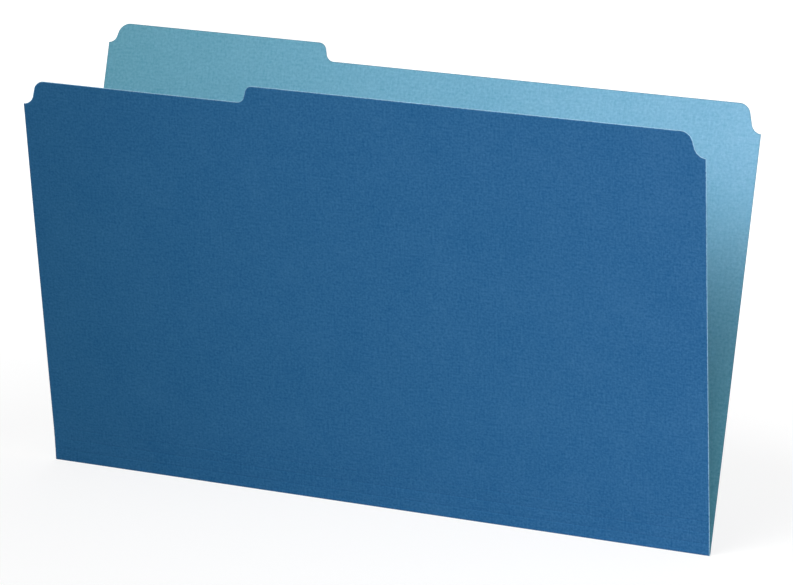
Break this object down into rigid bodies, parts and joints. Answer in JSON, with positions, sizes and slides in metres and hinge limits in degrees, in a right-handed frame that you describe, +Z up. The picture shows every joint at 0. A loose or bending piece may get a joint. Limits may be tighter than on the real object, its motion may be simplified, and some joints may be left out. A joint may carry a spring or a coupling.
{
  "type": "file folder",
  "caption": "Legal-size file folder of creased two-ply board, with an index tab on the rear cover, an undercut front cover, and score lines that let its foot expand.",
  "frame": {"origin": "middle of the underside of the fold spine, the line the folder stands on", "axes": "+X along the fold, to the right seen from the front; -Y towards the front cover, +Y towards the rear cover; +Z up"},
  "size_m": [0.3746, 0.1042, 0.2357],
  "materials": {
    "outer_ply": "matte dark blue board with a fine woven-looking calender mark",
    "inner_ply": "matte light blue board with a fine woven-looking calender mark"
  },
  "bodies": {
    "fold_spine": {"fold_spine_outer_ply": "outer_ply", "fold_spine_inner_ply": "inner_ply"},
    "rear_cover": {"rear_cover_outer_ply": "outer_ply", "rear_cover_inner_ply": "inner_ply"},
    "base_strips": {"score_strip_1_outer_ply": "outer_ply", "score_strip_1_inner_ply": "inner_ply", "score_strip_2_outer_ply": "outer_ply", "score_strip_2_inner_ply": "inner_ply", "score_strip_3_outer_ply": "outer_ply", "score_strip_3_inner_ply": "inner_ply"},
    "front_cover": {"front_cover_outer_ply": "outer_ply", "front_cover_inner_ply": "inner_ply"}
  },
  "joints": [
    {"name": "main_fold", "type": "hinge", "parent": "fold_spine", "child": "rear_cover", "pos_m": [0, 0.0007, 0.00014], "axis": [-1, 0, 0], "range_deg": [-24.2, 76.4]},
    {"name": "base_fold", "type": "hinge", "parent": "fold_spine", "child": "base_strips", "pos_m": [0, -0.0007, 0.00014], "axis": [1, 0, 0], "range_deg": [-1, 79.4]},
    {"name": "score_line_3", "type": "hinge", "parent": "base_strips", "child": "front_cover", "pos_m": [0, -0.0042, 0.01886], "axis": [1, 0, 0], "range_deg": [-79.4, 1]}
  ],
  "couplings": [
    {"joint": "score_line_3", "follows": "base_fold", "ratio": -1}
  ]
}
